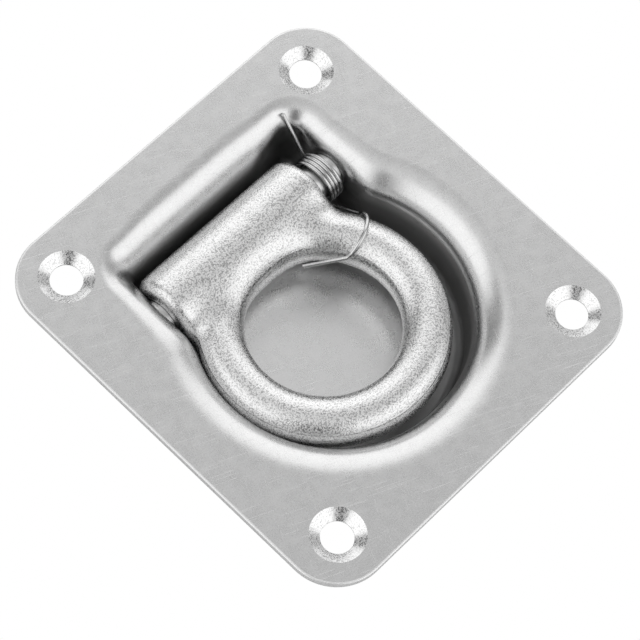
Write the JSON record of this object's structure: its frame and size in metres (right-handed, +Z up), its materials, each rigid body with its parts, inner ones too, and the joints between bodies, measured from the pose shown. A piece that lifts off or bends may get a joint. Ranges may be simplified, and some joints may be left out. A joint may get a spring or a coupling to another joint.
{
  "type": "recessed lashing ring",
  "caption": "Pressed plate with a deep recess and a sprung forged ring that lifts out of it on a pin, for tying down loads.",
  "frame": {"origin": "centre of the plate in plan, on the underside of the recess floor", "axes": "+Z up out of the recess, X along the hinge with the spring on its +X side, the hinge on the +Y side and the ring lying towards -Y"},
  "size_m": [0.113, 0.12, 0.0244],
  "materials": {
    "zinc_plate": "satin zinc plating on pressed steel, fine mottled grain with faint scratches",
    "forged_zinc": "zinc plating on a forging, bright on the crowns and coarse grained in between",
    "zinc_pin": "smooth zinc plating",
    "spring_wire": "drawn spring wire with a dull zinc coat"
  },
  "bodies": {
    "pan_body": {"pan": "zinc_plate", "pivot_pin": "zinc_pin", "torsion_spring": "spring_wire"},
    "ring_body": {"ring": "forged_zinc"}
  },
  "joints": [
    {"name": "ring_hinge", "type": "hinge", "parent": "pan_body", "child": "ring_body", "pos_m": [-0.0028, 0.0263, 0.0134], "axis": [-1, 0, 0], "range_deg": [0, 120], "stiffness_Nm_per_rad": 0.075, "springref_deg": -57.3, "deforming": ["torsion_spring"]}
  ]
}
